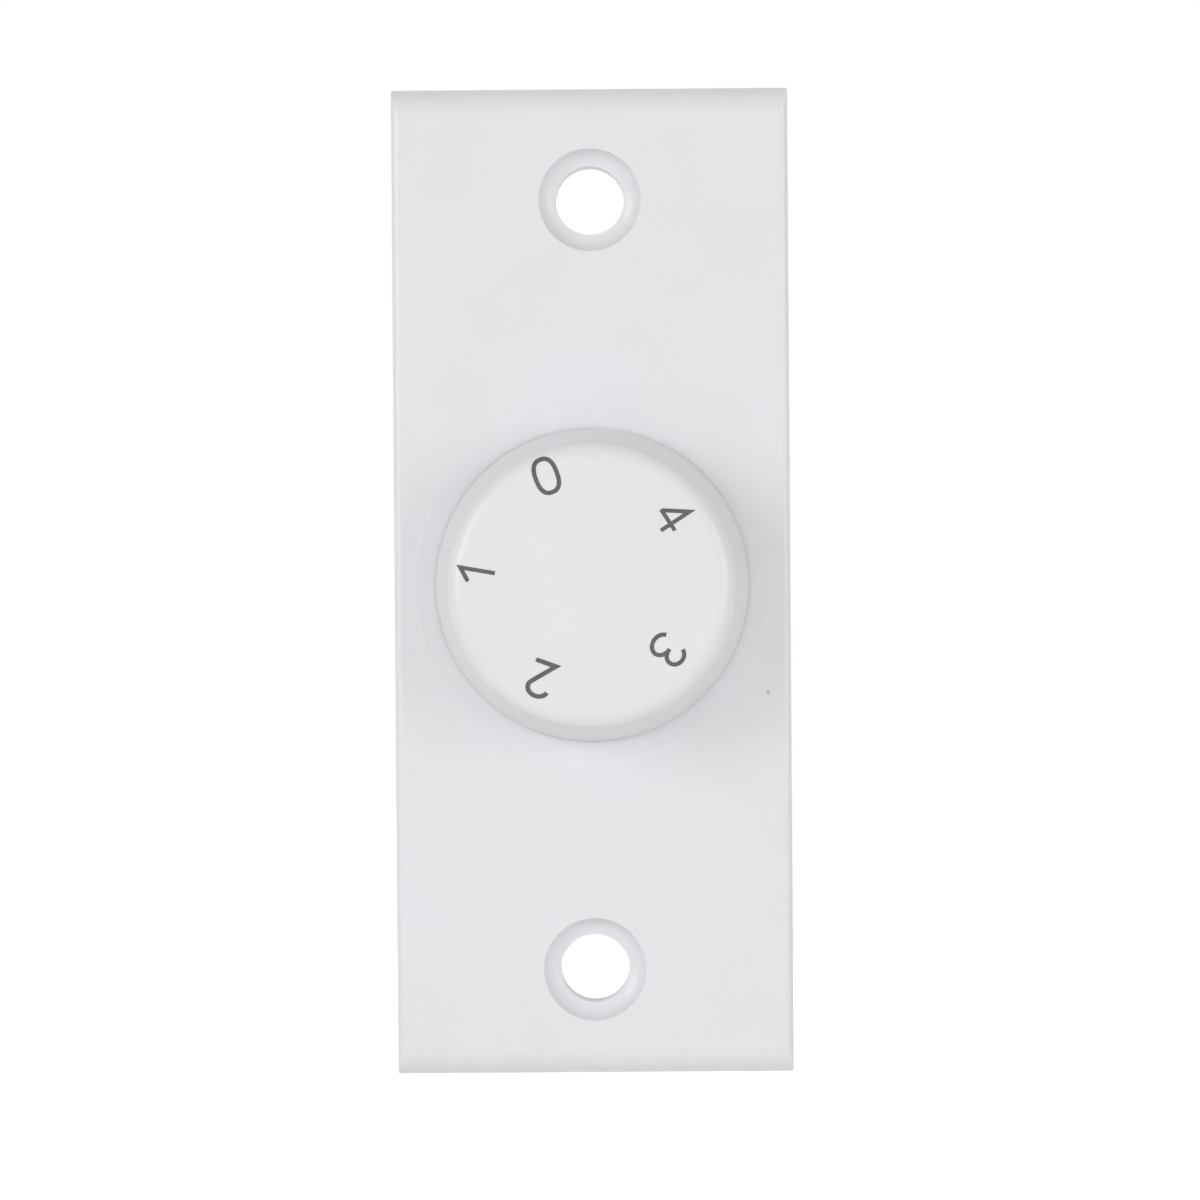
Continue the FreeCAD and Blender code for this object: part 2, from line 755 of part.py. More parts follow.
def switch_rivets():
    """Four rivets that hold the bush plate on the case."""
    head_y = pad_y - rivet_head_height
    tail_y = case_back_y - rivet_head_height - seat_fit
    end_y = tail_y + rivet_head_height
    flat_r = rivet_head_r - rivet_head_chamfer
    rivets = []
    for x, z in corners_of(rivet_offset, rivet_offset):
        rivet = turned([
            (0, head_y),
            (flat_r, head_y),
            (rivet_head_r, head_y + rivet_head_chamfer),
            (rivet_head_r, pad_y),
            (rivet_r, pad_y),
            (rivet_r, tail_y),
            (rivet_head_r, tail_y),
            (rivet_head_r, end_y - rivet_head_chamfer),
            (flat_r, end_y),
            (0, end_y),
        ])
        rivet.translate(V(x, 0, z))
        rivets.append(rivet)
    return Part.makeCompound(rivets)


def circuit_board():
    """Board with slots for the contacts' tails and holes for leads and pins."""
    board = slab(board_width, board_height, board_corner, case_back_y, board_back_y)
    holes = tail_slots()
    lead_places = [
        (capacitor_lead_x, capacitor_1_z),
        (capacitor_lead_x, capacitor_2_z),
        (resistor_lead_x, resistor_1_z),
        (resistor_lead_x, resistor_2_z),
    ]
    for side in (-1, 1):
        for x, z in lead_places:
            hole = rod(lead_r + pin_fit, case_back_y - over, board_back_y + over, side * x, z)
            holes.append(hole)
        x = side * pole_offset
        hole = rod(terminal_pin_r + pin_fit, case_back_y - over, board_back_y + over, x, block_z)
        holes.append(hole)
    return board.cut(holes)


def speed_capacitor(z):
    """Boxed film capacitor on four feet, with two leads through the board."""
    half_x, half_z = capacitor_length / 2, capacitor_thick / 2
    body = box(-half_x, half_x, capacitor_y, capacitor_back_y, z - half_z, z + half_z)
    back_edge_y = capacitor_y + capacitor_edge
    body = round_edges(body, capacitor_edge, lambda edge: edge.BoundBox.YMax > back_edge_y)
    half_foot = capacitor_foot_side / 2
    foot_x = half_x - capacitor_edge - half_foot
    foot_z = half_z - capacitor_edge - half_foot
    extras = []
    for x, rise in corners_of(foot_x, foot_z):
        foot = box(-half_foot, half_foot, board_back_y, capacitor_y, -half_foot, half_foot)
        foot.translate(V(x, 0, z + rise))
        extras.append(foot)
    for side in (-1, 1):
        x = side * capacitor_lead_x
        extras.append(rod(lead_r, case_back_y - lead_beyond_board, capacitor_y, x, z))
    return body.multiFuse(extras)


def bleed_resistor(z):
    """Resistor with swollen ends, lying over the board on its two bent leads."""
    axis_y = board_back_y + resistor_end_r + seat_fit
    half = resistor_length / 2
    neck = half - resistor_end_length
    end_r = resistor_end_r - resistor_end_chamfer
    body = turned([
        (0, -half),
        (end_r, -half),
        (resistor_end_r, -half + resistor_end_chamfer),
        (resistor_end_r, -neck - resistor_end_chamfer),
        (resistor_r, -neck),
        (resistor_r, neck),
        (resistor_end_r, neck + resistor_end_chamfer),
        (resistor_end_r, half - resistor_end_chamfer),
        (end_r, half),
        (0, half),
    ])
    body.rotate(V(0, 0, 0), V(0, 0, 1), 90)
    body.translate(V(0, axis_y, z))
    return body.multiFuse([resistor_lead(side, axis_y, z) for side in (-1, 1)])


def resistor_lead(side, axis_y, z):
    """One lead: out of the end cap, over its bend and down through the board."""
    x = side * resistor_lead_x
    start = V(side * (resistor_length / 2 - resistor_end_length / 2), axis_y, z)
    path = Part.makePolygon([
        start,
        V(x - side * resistor_bend, axis_y, z),
        V(x, axis_y - resistor_bend, z),
        V(x, case_back_y - lead_beyond_board, z),
    ])
    section = Part.Wire(Part.makeCircle(lead_r, start, V(side, 0, 0)))
    return path.makePipeShell([section], True, False, 1)


def terminal_block():
    """Moulded block with a pocket, a wire mouth and a screw well for each of its two poles."""
    half = block_width / 2
    block = box(-half, half, board_back_y, block_back_y, block_bottom_z, block_top_z)
    block = round_edges(block, block_edge, lambda edge: edge.BoundBox.YMin > clamp_y)
    cuts = []
    for side in (-1, 1):
        x = side * pole_offset
        half_pocket = clamp_width / 2 + pin_fit
        pocket = box(x - half_pocket, x + half_pocket, clamp_y - pin_fit, clamp_back_y + pin_fit,
                     clamp_bottom_z - pin_fit, block_top_z + over)
        cuts.append(pocket)
        cuts.append(upright(wire_mouth_r, block_bottom_z - over, clamp_bottom_z, x, wire_y))
        well_r = terminal_head_r + seat_fit
        cuts.append(rod(well_r, clamp_back_y, block_back_y + over, x, clamp_middle_z))
        cuts.append(rod(terminal_pin_r + pin_fit, board_back_y - over, clamp_y, x, block_z))
    return block.cut(cuts)


def terminal_clamp(side):
    """Brass clamp with a bore for the wire, a tapped hole for its screw and a solder pin."""
    x = side * pole_offset
    half = clamp_width / 2
    clamp = box(x - half, x + half, clamp_y, clamp_back_y, clamp_bottom_z, clamp_top_z)
    pin = rod(terminal_pin_r, case_back_y - lead_beyond_board, clamp_y, x, block_z)
    cuts = [
        upright(wire_bore_r, clamp_bottom_z - over, clamp_top_z + over, x, wire_y),
        rod(terminal_screw_r + turning_fit, wire_y, clamp_back_y + over, x, clamp_middle_z),
    ]
    return clamp.fuse(pin).cut(cuts)


def slotted_screw(shank_r, head_r, head_height, tip_y, seat_y):
    """Screw along the axis with its head to the rear and a driver slot across it."""
    head_y = seat_y + head_height
    tip_r = shank_r * screw_tip_share
    screw = turned([
        (0, tip_y),
        (tip_r, tip_y),
        (shank_r, tip_y + shank_r - tip_r),
        (shank_r, seat_y),
        (head_r, seat_y),
        (head_r, head_y - screw_head_chamfer),
        (head_r - screw_head_chamfer, head_y),
        (0, head_y),
    ])
    slot = box(-head_r, head_r, head_y - slot_depth, head_y + over, -slot_width / 2, slot_width / 2)
    return screw.cut(slot)


def terminal_screws():
    """The two clamp screws, backed out as far as the edge of the wire bore."""
    seat_y = block_back_y - terminal_head_drop - terminal_head_height
    tip_y = wire_y + wire_bore_r
    screws = []
    for side in (-1, 1):
        screw = slotted_screw(terminal_screw_r, terminal_head_r, terminal_head_height, tip_y, seat_y)
        screw.translate(V(side * pole_offset, 0, clamp_middle_z))
        screws.append(screw)
    return Part.makeCompound(screws)


def rear_housing():
    """Drafted moulded housing with lugs, board ribs, wire entries and screwdriver holes."""
    back_width = housing_width - 2 * housing_taper
    back_height = housing_height - 2 * housing_taper
    back_corner = housing_corner - housing_taper
    outer = Part.makeLoft([
        rounded_rectangle(housing_width, housing_height, housing_corner, inner_y),
        rounded_rectangle(back_width, back_height, back_corner, housing_back_y),
    ], True)
    outer = round_edges(outer, housing_rear_round,
                        lambda edge: edge.BoundBox.YMin > housing_floor_y)
    wall = 2 * housing_wall
    inner = Part.makeLoft([
        rounded_rectangle(housing_width - wall, housing_height - wall,
                          housing_corner - housing_wall, inner_y),
        rounded_rectangle(back_width - wall, back_height - wall,
                          back_corner - housing_wall, housing_floor_y),
    ], True)
    lugs = []
    for x, z in corners_of(lug_offset_x, lug_offset_z):
        root_z = math.copysign(housing_height / 2 - housing_wall / 2, z)
        z0, z1 = sorted((root_z, z))
        lugs.append(rod(lug_r, lug_front_y, lug_back_y, x, z))
        lugs.append(box(x - lug_r, x + lug_r, lug_front_y, lug_back_y, z0, z1))
    shell = outer.multiFuse(lugs).cut(inner)
    ribs = Part.makeCompound(board_ribs()).common(inner)
    housing = shell.multiFuse(ribs.Solids)
    cuts = []
    for x, z in corners_of(lug_offset_x, lug_offset_z):
        cuts.append(rod(screw_r + seat_fit, lug_front_y - over, lug_back_y + over, x, z))
    for side in (-1, 1):
        x = side * pole_offset
        hole = rod(driver_hole_r, housing_floor_y - over, housing_back_y + over, x, clamp_middle_z)
        cuts.append(hole)
        bottom_z = -housing_height / 2
        cuts.append(upright(wire_hole_r, bottom_z - over, bottom_z + 2 * housing_wall, x, wire_y))
    return housing.cut(cuts)


def board_ribs():
    """Ribs on the inner walls whose front ends hold the board against the switch case."""
    half_rib = rib_thick / 2
    outer_x, outer_z = housing_width / 2, housing_height / 2
    side_x = outer_x - housing_wall - rib_reach
    end_z = outer_z - housing_wall - rib_reach
    ribs = []
    for z in (capacitor_top_z + side_rib_gap, capacitor_bottom_z - side_rib_gap):
        for x0, x1 in ((-outer_x, -side_x), (side_x, outer_x)):
            ribs.append(box(x0, x1, board_back_y, housing_back_y, z - half_rib, z + half_rib))
    for x in (-end_rib_offset, end_rib_offset):
        for z0, z1 in ((-outer_z, -end_z), (end_z, outer_z)):
            ribs.append(box(x - half_rib, x + half_rib, board_back_y, housing_back_y, z0, z1))
    return ribs


def housing_screws():
    """Four self-tapping screws through the housing's lugs into the plate's bosses."""
    screws = []
    for x, z in corners_of(lug_offset_x, lug_offset_z):
        screw = slotted_screw(screw_r, screw_head_r, screw_head_height, screw_tip_y, lug_back_y)
        screw.translate(V(x, 0, z))
        screws.append(screw)
    return Part.makeCompound(screws)


def all_parts():
    """Every piece of the switch by the name of its node."""
    parts = {
        "wall_plate": wall_plate(),
        "control_knob": control_knob(),
        "knob_spring": knob_spring(),
        "switch_spindle": switch_spindle(),
        "spindle_clip": spindle_clip(),
        "bush_plate": bush_plate(),
        "fixing_nut": fixing_nut(),
        "lock_washer": lock_washer(),
        "switch_case": switch_case(),
        "switch_rotor": switch_rotor(),
        "detent_spring": detent_spring(),
        "wiper_contact": wiper_contact(),
        "common_contact": common_contact(),
        "switch_rivets": switch_rivets(),
        "circuit_board": circuit_board(),
        "speed_capacitor_1": speed_capacitor(capacitor_1_z),
        "speed_capacitor_2": speed_capacitor(capacitor_2_z),
        "bleed_resistor_1": bleed_resistor(resistor_1_z),
        "bleed_resistor_2": bleed_resistor(resistor_2_z),
        "terminal_block": terminal_block(),
        "terminal_clamp_1": terminal_clamp(-1),
        "terminal_clamp_2": terminal_clamp(1),
        "terminal_screws": terminal_screws(),
        "rear_housing": rear_housing(),
        "housing_screws": housing_screws(),
    }
    for speed, (angle, x, z) in enumerate(contact_places(), start=1):
        parts[f"speed_contact_{speed}"] = speed_contact(angle, x, z)
    return parts


os.makedirs("parts", exist_ok=True)
for name, shape in all_parts().items():
    shape.exportStep(f"parts/{name}.step")
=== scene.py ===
import math

import bpy
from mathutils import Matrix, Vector


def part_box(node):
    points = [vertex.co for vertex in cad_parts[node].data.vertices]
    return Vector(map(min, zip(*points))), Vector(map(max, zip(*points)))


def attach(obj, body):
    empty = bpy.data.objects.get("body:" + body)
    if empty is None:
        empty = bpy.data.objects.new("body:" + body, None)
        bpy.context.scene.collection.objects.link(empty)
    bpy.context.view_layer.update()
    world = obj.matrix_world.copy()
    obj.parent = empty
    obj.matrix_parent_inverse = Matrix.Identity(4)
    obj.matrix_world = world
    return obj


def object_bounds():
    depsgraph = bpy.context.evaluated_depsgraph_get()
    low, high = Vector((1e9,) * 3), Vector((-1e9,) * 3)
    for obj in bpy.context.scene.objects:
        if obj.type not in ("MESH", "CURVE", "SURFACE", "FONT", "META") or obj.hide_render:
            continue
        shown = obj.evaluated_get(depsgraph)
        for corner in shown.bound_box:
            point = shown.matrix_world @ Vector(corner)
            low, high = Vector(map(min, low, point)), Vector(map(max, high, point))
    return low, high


# Looks of a rotary fan speed switch on a narrow wall plate.
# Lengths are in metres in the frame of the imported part: X right, Z up, Y into the wall.

MM = 0.001

# Printed numbers on the knob: the ring that they stand on is off the middle, and each number has
# its own angle round that ring and its own tilt, anticlockwise in degrees. Each has its share of
# the usual stroke width, as some are printed with more ink than others
ink_width = 0.47 * MM
ink_shares = (1.0, 0.94, 1.04, 0.96, 0.92)
ink_height = 0.03 * MM
ink_sink = 0.01 * MM
stroke_step = 0.003 * MM
number_height = 4.18 * MM
number_width = 2.83 * MM
print_radius = 11.76 * MM
print_shift_x = -0.72 * MM
print_shift_z = 0.77 * MM
number_angles = (20, 87, 156, 229, 305)
number_tilts = (0, -7, 4, 3, -2)
oval_power = 2.5
arc_points = 32
same_point = 1e-6

# The ink is cut into steps fine enough to follow the knob, and projected from a little ahead of it
wrap_step = 0.35 * MM
wrap_start = 2 * MM
facing_viewer = -0.9

# Camera, fitted to the corners, the holes and the knob in the photo
camera_x = 5.52 * MM
camera_y = -600.0 * MM
camera_z = 6.41 * MM
camera_tilt = -0.779
camera_turn = 0.448
camera_roll = 0.428
camera_lens_mm = 163.16
camera_sensor_mm = 36.0

# Floor, room and softboxes: a key to the left, a weaker fill to the right and a little from ahead
floor_size = 8.0
floor_drop = 300 * MM
floor_glow = 0.72
floor_colour = "#F2F2F2"
room_level = 0.49
softbox_size = 0.5
softbox_distance = 0.9
softboxes = {
    "key": (-50, 14, 2.63),
    "fill": (50, 6, 1.87),
    "front": (0, 0, 0.58),
}

# Dirt speck on the plate, where the photo has it
speck_x = 19.1 * MM
speck_z = -11.9 * MM
speck_r = 0.32 * MM
speck_core = 0.3
speck_strength = 0.5

# Matt mouldings: finish, light and dark colour, and the size and depth of the grain
matt_mouldings = {
    "rear_housing": ("sparked_abs_housing", "#D9D8D4", "#CECDC9", 0.35 * MM, 0.02 * MM),
    "switch_rotor": ("moulded_nylon", "#E4DFCF", "#D8D2BE", 1.2 * MM, 0.004 * MM),
    "terminal_block": ("moulded_polyamide", "#4E7A62", "#446E57", 0.8 * MM, 0.005 * MM),
}

# Colour rings of the resistors, each with its place along the body from the middle
colour_rings = (
    ("#7A3B22", -2.2 * MM),
    ("#2A2A2A", -0.9 * MM),
    ("#B4482C", 0.4 * MM),
    ("#B5952E", 2.4 * MM),
)
ring_half_width = 0.35 * MM

# Where the coat of a resistor ends, how far before the board's back a capacitor's leads show, and
# the colour of tinned leads
coat_half_length = 4.55 * MM
lead_start = 0.05 * MM
tinned_lead = "#C9CACB"


def linear(code):
    """sRGB hex colour as linear red, green, blue and alpha."""
    channels = [int(code[i:i + 2], 16) / 255 for i in (1, 3, 5)]
    rgb = [c / 12.92 if c <= 0.04045 else ((c + 0.055) / 1.055) ** 2.4 for c in channels]
    return (*rgb, 1.0)


def add(tree, kind, links=None, values=None, **settings):
    """Add a node with its settings, input values and input links."""
    made = tree.nodes.new(kind)
    for name, value in settings.items():
        setattr(made, name, value)
    for name, value in (values or {}).items():
        made.inputs[name].default_value = value
    for name, source in (links or {}).items():
        tree.links.new(source, made.inputs[name])
    return made


def new_material(name, **sockets):
    """Material with one principled shader; returns it with its tree, shader and coordinates."""
    material = bpy.data.materials.new(name)
    material.use_nodes = True
    tree = material.node_tree
    tree.nodes.clear()
    shader = add(tree, "ShaderNodeBsdfPrincipled")
    for socket, value in sockets.items():
        shader.inputs[socket.replace("_", " ")].default_value = value
    add(tree, "ShaderNodeOutputMaterial", {"Surface": shader.outputs["BSDF"]})
    place = add(tree, "ShaderNodeTexCoord").outputs["Object"]
    return material, tree, shader, place


def noise(tree, place, size, detail=2.0, rough=0.5):
    """Noise pattern whose features are about size metres across."""
    values = {"Scale": 1 / size, "Detail": detail, "Roughness": rough}
    return add(tree, "ShaderNodeTexNoise", {"Vector": place}, values).outputs["Fac"]


def spread(tree, source, low, high, start=0.3, end=0.7):
    """Map a pattern onto the range from low to high."""
    values = {"From Min": start, "From Max": end, "To Min": low, "To Max": high}
    return add(tree, "ShaderNodeMapRange", {"Value": source}, values).outputs["Result"]


def blend_colour(tree, share, low, high):
    """Mix two colours, each a hex code or a colour output, by a share from 0 to 1."""
    mix = add(tree, "ShaderNodeMix", {"Factor": share}, data_type="RGBA")
    for socket, colour in ((mix.inputs[6], low), (mix.inputs[7], high)):
        if isinstance(colour, str):
            socket.default_value = linear(colour)
        else:
            tree.links.new(colour, socket)
    return mix.outputs[2]


def bump(tree, shader, height, depth, below=None):
    """Raise the surface by a pattern; depth is its height in metres."""
    links = {"Height": height}
    if below:
        links["Normal"] = below
    made = add(tree, "ShaderNodeBump", links, {"Strength": 1.0, "Distance": depth})
    tree.links.new(made.outputs["Normal"], shader.inputs["Normal"])
    return made.outputs["Normal"]


def distance_from(tree, place, x, y, z):
    """Distance of the surface from a point, without the axes given as None."""
    keep = [0.0 if v is None else 1.0 for v in (x, y, z)]
    point = [v or 0.0 for v in (x, y, z)]
    flat = add(tree, "ShaderNodeVectorMath", {0: place}, {1: keep}, operation="MULTIPLY")
    away = add(tree, "ShaderNodeVectorMath", {0: flat.outputs["Vector"]}, {1: point},
               operation="DISTANCE")
    return away.outputs["Value"]


def moulded_urea(name, light, shade):
    """Glossy white urea moulding: a clean, faintly lilac white with soft cloudy shading,
    the slight waviness of a moulded face and a polish that is a little uneven."""
    material, tree, shader, place = new_material(name, IOR=1.56, Roughness=0.34)
    cloud_size, filler_size, sheen_size = 16 * MM, 1.6 * MM, 5 * MM
    wave_size, wave_depth = 7 * MM, 0.02 * MM
    polish_size, polish_depth = 0.5 * MM, 0.002 * MM
    clouds = spread(tree, noise(tree, place, cloud_size), 0.0, 1.0)
    colour = blend_colour(tree, clouds, light, shade)
    filler = spread(tree, noise(tree, place, filler_size, 4.0), 0.0, 0.35)
    colour = blend_colour(tree, filler, colour, shade)
    tree.links.new(colour, shader.inputs["Base Color"])
    sheen = spread(tree, noise(tree, place, sheen_size, 3.0), 0.3, 0.4)
    tree.links.new(sheen, shader.inputs["Roughness"])
    waves = bump(tree, shader, noise(tree, place, wave_size, 1.0), wave_depth)
    bump(tree, shader, noise(tree, place, polish_size, 2.0), polish_depth, waves)
    return material, tree, shader, place, colour


def plate_material():
    """The plate's urea, with the one dirt speck that the photo shows."""
    material, tree, shader, place, colour = moulded_urea("moulded_urea_plate", "#E9E7EB", "#E5E3E6")
    away = distance_from(tree, place, speck_x, None, speck_z)
    dirt = spread(tree, away, speck_strength, 0.0, speck_r * speck_core, speck_r)
    colour = blend_colour(tree, dirt, colour, "#8E8B88")
    tree.links.new(colour, shader.inputs["Base Color"])
    return material


def ink_material():
    """Pad-printed grey ink: matt, a little thin in places so that the white shows through."""
    material, tree, shader, place = new_material("pad_printed_ink", IOR=1.5, Roughness=0.55)
    patch_size = 0.35 * MM
    thin = spread(tree, noise(tree, place, patch_size, 3.0), 0.0, 0.35, 0.45, 0.75)
    tree.links.new(blend_colour(tree, thin, "#57545A", "#858288"), shader.inputs["Base Color"])
    return material


def sparked_moulding(name, light, shade, grain, depth):
    """Matt plastic from a spark-eroded mould: an even fine grain that kills the gloss.
    The grain is drawn a little coarser than real so that it shows."""
    material, tree, shader, place = new_material(name, IOR=1.53, Roughness=0.55)
    cloud_size = 25 * MM
    clouds = spread(tree, noise(tree, place, cloud_size, 1.0), 0.0, 0.35)
    colour = blend_colour(tree, clouds, light, shade)
    pits = noise(tree, place, grain, 3.0, 0.6)
    colour = blend_colour(tree, spread(tree, pits, 1.0, 0.0), colour, shade)
    tree.links.new(colour, shader.inputs["Base Color"])
    matt = spread(tree, pits, 0.62, 0.48)
    tree.links.new(matt, shader.inputs["Roughness"])
    bump(tree, shader, pits, depth)
    return material


def zinc_plated_steel():
    """Steel with barrel-plated zinc: bright metal with a soft mottle from the plating bath."""
    material, tree, shader, place = new_material("zinc_plated_steel", Metallic=1.0, Roughness=0.36)
    mottle_size, grain_size = 2.5 * MM, 0.6 * MM
    pit_size, pit_depth = 0.2 * MM, 0.004 * MM
    mottle = spread(tree, noise(tree, place, mottle_size, 4.0), 0.0, 1.0)
    tree.links.new(blend_colour(tree, mottle, "#C4C7CB", "#B9BBBE"), shader.inputs["Base Color"])
    worn = spread(tree, noise(tree, place, grain_size, 4.0), 0.32, 0.41)
    tree.links.new(worn, shader.inputs["Roughness"])
    bump(tree, shader, noise(tree, place, pit_size, 2.0), pit_depth)
    return material


def rolled_strip(name, light, shade):
    """Rolled strip metal: fine lines along the rolling direction and a bright sheen."""
    material, tree, shader, place = new_material(name, Metallic=1.0, Roughness=0.25)
    line_width, line_depth = 0.15 * MM, 0.003 * MM
    stretch = add(tree, "ShaderNodeMapping", {"Vector": place}, {"Scale": (0.1, 1.0, 1.0)})
    lines = noise(tree, stretch.outputs["Vector"], line_width, 3.0)
    shine = spread(tree, lines, 0.18, 0.26)
    tree.links.new(blend_colour(tree, lines, light, shade), shader.inputs["Base Color"])
    tree.links.new(shine, shader.inputs["Roughness"])
    bump(tree, shader, lines, line_depth)
    return material


def phenolic_case():
    """Black phenolic moulding: dull black-brown with flow marks from the filler."""
    material, tree, shader, place = new_material("phenolic_moulding", IOR=1.6, Roughness=0.42)
    flow_size = 2.5 * MM
    grain_size, grain_depth = 0.4 * MM, 0.008 * MM
    flow = noise(tree, place, flow_size, 6.0, 0.65)
    tree.links.new(blend_colour(tree, flow, "#1B1918", "#332C28"), shader.inputs["Base Color"])
    tree.links.new(spread(tree, flow, 0.34, 0.52), shader.inputs["Roughness"])
    bump(tree, shader, noise(tree, place, grain_size, 3.0), grain_depth)
    return material


def paper_laminate():
    """Brown paper-phenolic board: warm brown with the faint weave of pressed paper."""
    material, tree, shader, place = new_material("paper_laminate", IOR=1.55, Roughness=0.45)
    fibre_width, fibre_depth = 0.5 * MM, 0.006 * MM
    fibres = add(tree, "ShaderNodeMapping", {"Vector": place}, {"Scale": (1.0, 1.0, 0.25)})
    pulp = noise(tree, fibres.outputs["Vector"], fibre_width, 5.0, 0.6)
    tree.links.new(blend_colour(tree, pulp, "#9A7440", "#B38C55"), shader.inputs["Base Color"])
    bump(tree, shader, pulp, fibre_depth)
    return material


def film_capacitor():
    """Yellow potted capacitor box; its leads, in front of the body, are tinned."""
    material, tree, shader, place = new_material("potted_box", IOR=1.52, Roughness=0.38)
    cloud_size = 6 * MM
    grain_size, grain_depth = 0.6 * MM, 0.006 * MM
    clouds = spread(tree, noise(tree, place, cloud_size, 3.0), 0.0, 1.0)
    body = blend_colour(tree, clouds, "#D6BE62", "#CDB355")
    depth = add(tree, "ShaderNodeSeparateXYZ", {0: place}).outputs["Y"]
    board_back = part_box("circuit_board")[1][1]
    lead = add(tree, "ShaderNodeMath", {0: depth}, {1: board_back - lead_start}, operation="LESS_THAN")
    tree.links.new(lead.outputs["Value"], shader.inputs["Metallic"])
    colour = blend_colour(tree, lead.outputs["Value"], body, tinned_lead)
    tree.links.new(colour, shader.inputs["Base Color"])
    bump(tree, shader, noise(tree, place, grain_size, 2.0), grain_depth)
    return material


def coated_resistor(node):
    """Resistor with a baked beige coat, four colour rings and tinned leads."""
    material, tree, shader, place = new_material(f"baked_coat_{node}", IOR=1.5, Roughness=0.35)
    across = add(tree, "ShaderNodeSeparateXYZ", {0: place}).outputs["X"]
    mottle_size = 1.2 * MM
    colour = blend_colour(tree, noise(tree, place, mottle_size, 3.0), "#CDB994", "#C2AC84")
    for ring, middle in colour_rings:
        near = add(tree, "ShaderNodeMath", {0: across}, {1: middle, 2: ring_half_width},
                   operation="COMPARE")
        colour = blend_colour(tree, near.outputs["Value"], colour, ring)
    from_middle = add(tree, "ShaderNodeMath", {0: across}, operation="ABSOLUTE").outputs["Value"]
    lead = add(tree, "ShaderNodeMath", {0: from_middle}, {1: coat_half_length},
               operation="GREATER_THAN")
    colour = blend_colour(tree, lead.outputs["Value"], colour, tinned_lead)
    tree.links.new(lead.outputs["Value"], shader.inputs["Metallic"])
    tree.links.new(colour, shader.inputs["Base Color"])
    return material


def dress(nodes):
    """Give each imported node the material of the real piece."""
    urea = moulded_urea("moulded_urea_knob", "#EAE8EB", "#E6E4E7")[0]
    steel = zinc_plated_steel()
    sprung = rolled_strip("tempered_spring_strip", "#8E9196", "#74767A")
    brass = rolled_strip("rolled_brass_strip", "#DCB869", "#C79F50")
    potted = film_capacitor()
    looks = {
        "wall_plate": plate_material(),
        "control_knob": urea,
        "switch_case": phenolic_case(),
        "circuit_board": paper_laminate(),
    }
    for name, (finish, light, shade, grain, depth) in matt_mouldings.items():
        looks[name] = sparked_moulding(finish, light, shade, grain, depth)
    for name in ("switch_spindle", "spindle_clip", "fixing_nut", "lock_washer", "bush_plate",
                 "switch_rivets", "housing_screws", "terminal_screws"):
        looks[name] = steel
    for name in ("knob_spring", "detent_spring"):
        looks[name] = sprung
    for name in nodes:
        if "contact" in name or "clamp" in name:
            looks[name] = brass
        if name.startswith("speed_capacitor"):
            looks[name] = potted
        if name.startswith("bleed_resistor"):
            looks[name] = coated_resistor(name)
    for name, piece in nodes.items():
        piece.data.materials.clear()
        piece.data.materials.append(looks[name])


def bow(centre, radii, start, end):
    """Points along an elliptical arc between two angles, in degrees from the right."""
    points = []
    for count in range(arc_points + 1):
        angle = math.radians(start + (end - start) * count / arc_points)
        points.append((centre[0] + radii[0] * math.cos(angle), centre[1] + radii[1] * math.sin(angle)))
    return points


def oval(centre, radii):
    """Points round an oval whose sides are straighter than those of an ellipse."""
    points = []
    for across, up in bow((0, 0), (1, 1), 0, 360):
        x = math.copysign(abs(across) ** (2 / oval_power), across)
        z = math.copysign(abs(up) ** (2 / oval_power), up)
        points.append((centre[0] + radii[0] * x, centre[1] + radii[1] * z))
    return points


def number_strokes():
    """Middle lines of the strokes of 0 to 4; across runs from -1 to 1 and up from 0 to 1."""
    low = ink_width / 2 / number_height
    high = 1 - low
    wide = 1 - ink_width / number_width
    waist = 0.515
    upper = (high - waist) / 2
    lower = (waist - low) / 2
    zero = [oval((0, 0.5), (wide, high - 0.5))]
    one = [[(0.3, 0), (0.3, 0.9), (-0.64, 0.65)]]
    two = [bow((0, 0.735), (wide * 0.93, high - 0.735), 170, -35) + [(-wide * 0.92, low), (wide, low)]]
    three = [
        bow((-0.03, waist + upper), (wide * 0.86, upper), 165, -90),
        bow((-0.03, waist - lower), (wide, lower), -165, 90),
        [(-0.03, waist), (-0.15, waist)],
    ]
    four = [[(0.42, 0), (0.42, 0.88), (-wide, 0.3)], [(-wide * 1.08, 0.3), (1, 0.3)]]
    return [zero, one, two, three, four]


def draw_stroke(points, width):
    """One stroke as a thin upright wall of ink in the XZ plane at the origin."""
    bpy.ops.object.select_all(action="DESELECT")
    curve = bpy.data.curves.new("stroke", "CURVE")
    curve.dimensions = "3D"
    closed = (Vector(points[0]) - Vector(points[-1])).length < same_point
    used = points[:-1] if closed else points
    path = curve.splines.new("POLY")
    path.points.add(len(used) - 1)
    for point, (across, up) in zip(path.points, used):
        point.co = (across * number_width / 2, 0, (up - 0.5) * number_height, 1)
    path.use_cyclic_u = closed
    piece = bpy.data.objects.new("stroke", curve)
    bpy.context.scene.collection.objects.link(piece)
    bpy.context.view_layer.objects.active = piece
    piece.select_set(True)
    bpy.ops.object.convert(target="MESH")
    bpy.ops.object.mode_set(mode="EDIT")
    bpy.ops.mesh.select_mode(type="VERT")
    bpy.ops.mesh.select_all(action="SELECT")
    bpy.ops.mesh.extrude_region_move(TRANSFORM_OT_translate={"value": (0, -ink_height, 0)})
    bpy.ops.object.mode_set(mode="OBJECT")
    wall = piece.modifiers.new("width", "SOLIDIFY")
    wall.thickness = width
    wall.offset = 0
    wall.use_even_offset = True
    bpy.ops.object.modifier_apply(modifier=wall.name)
    return piece


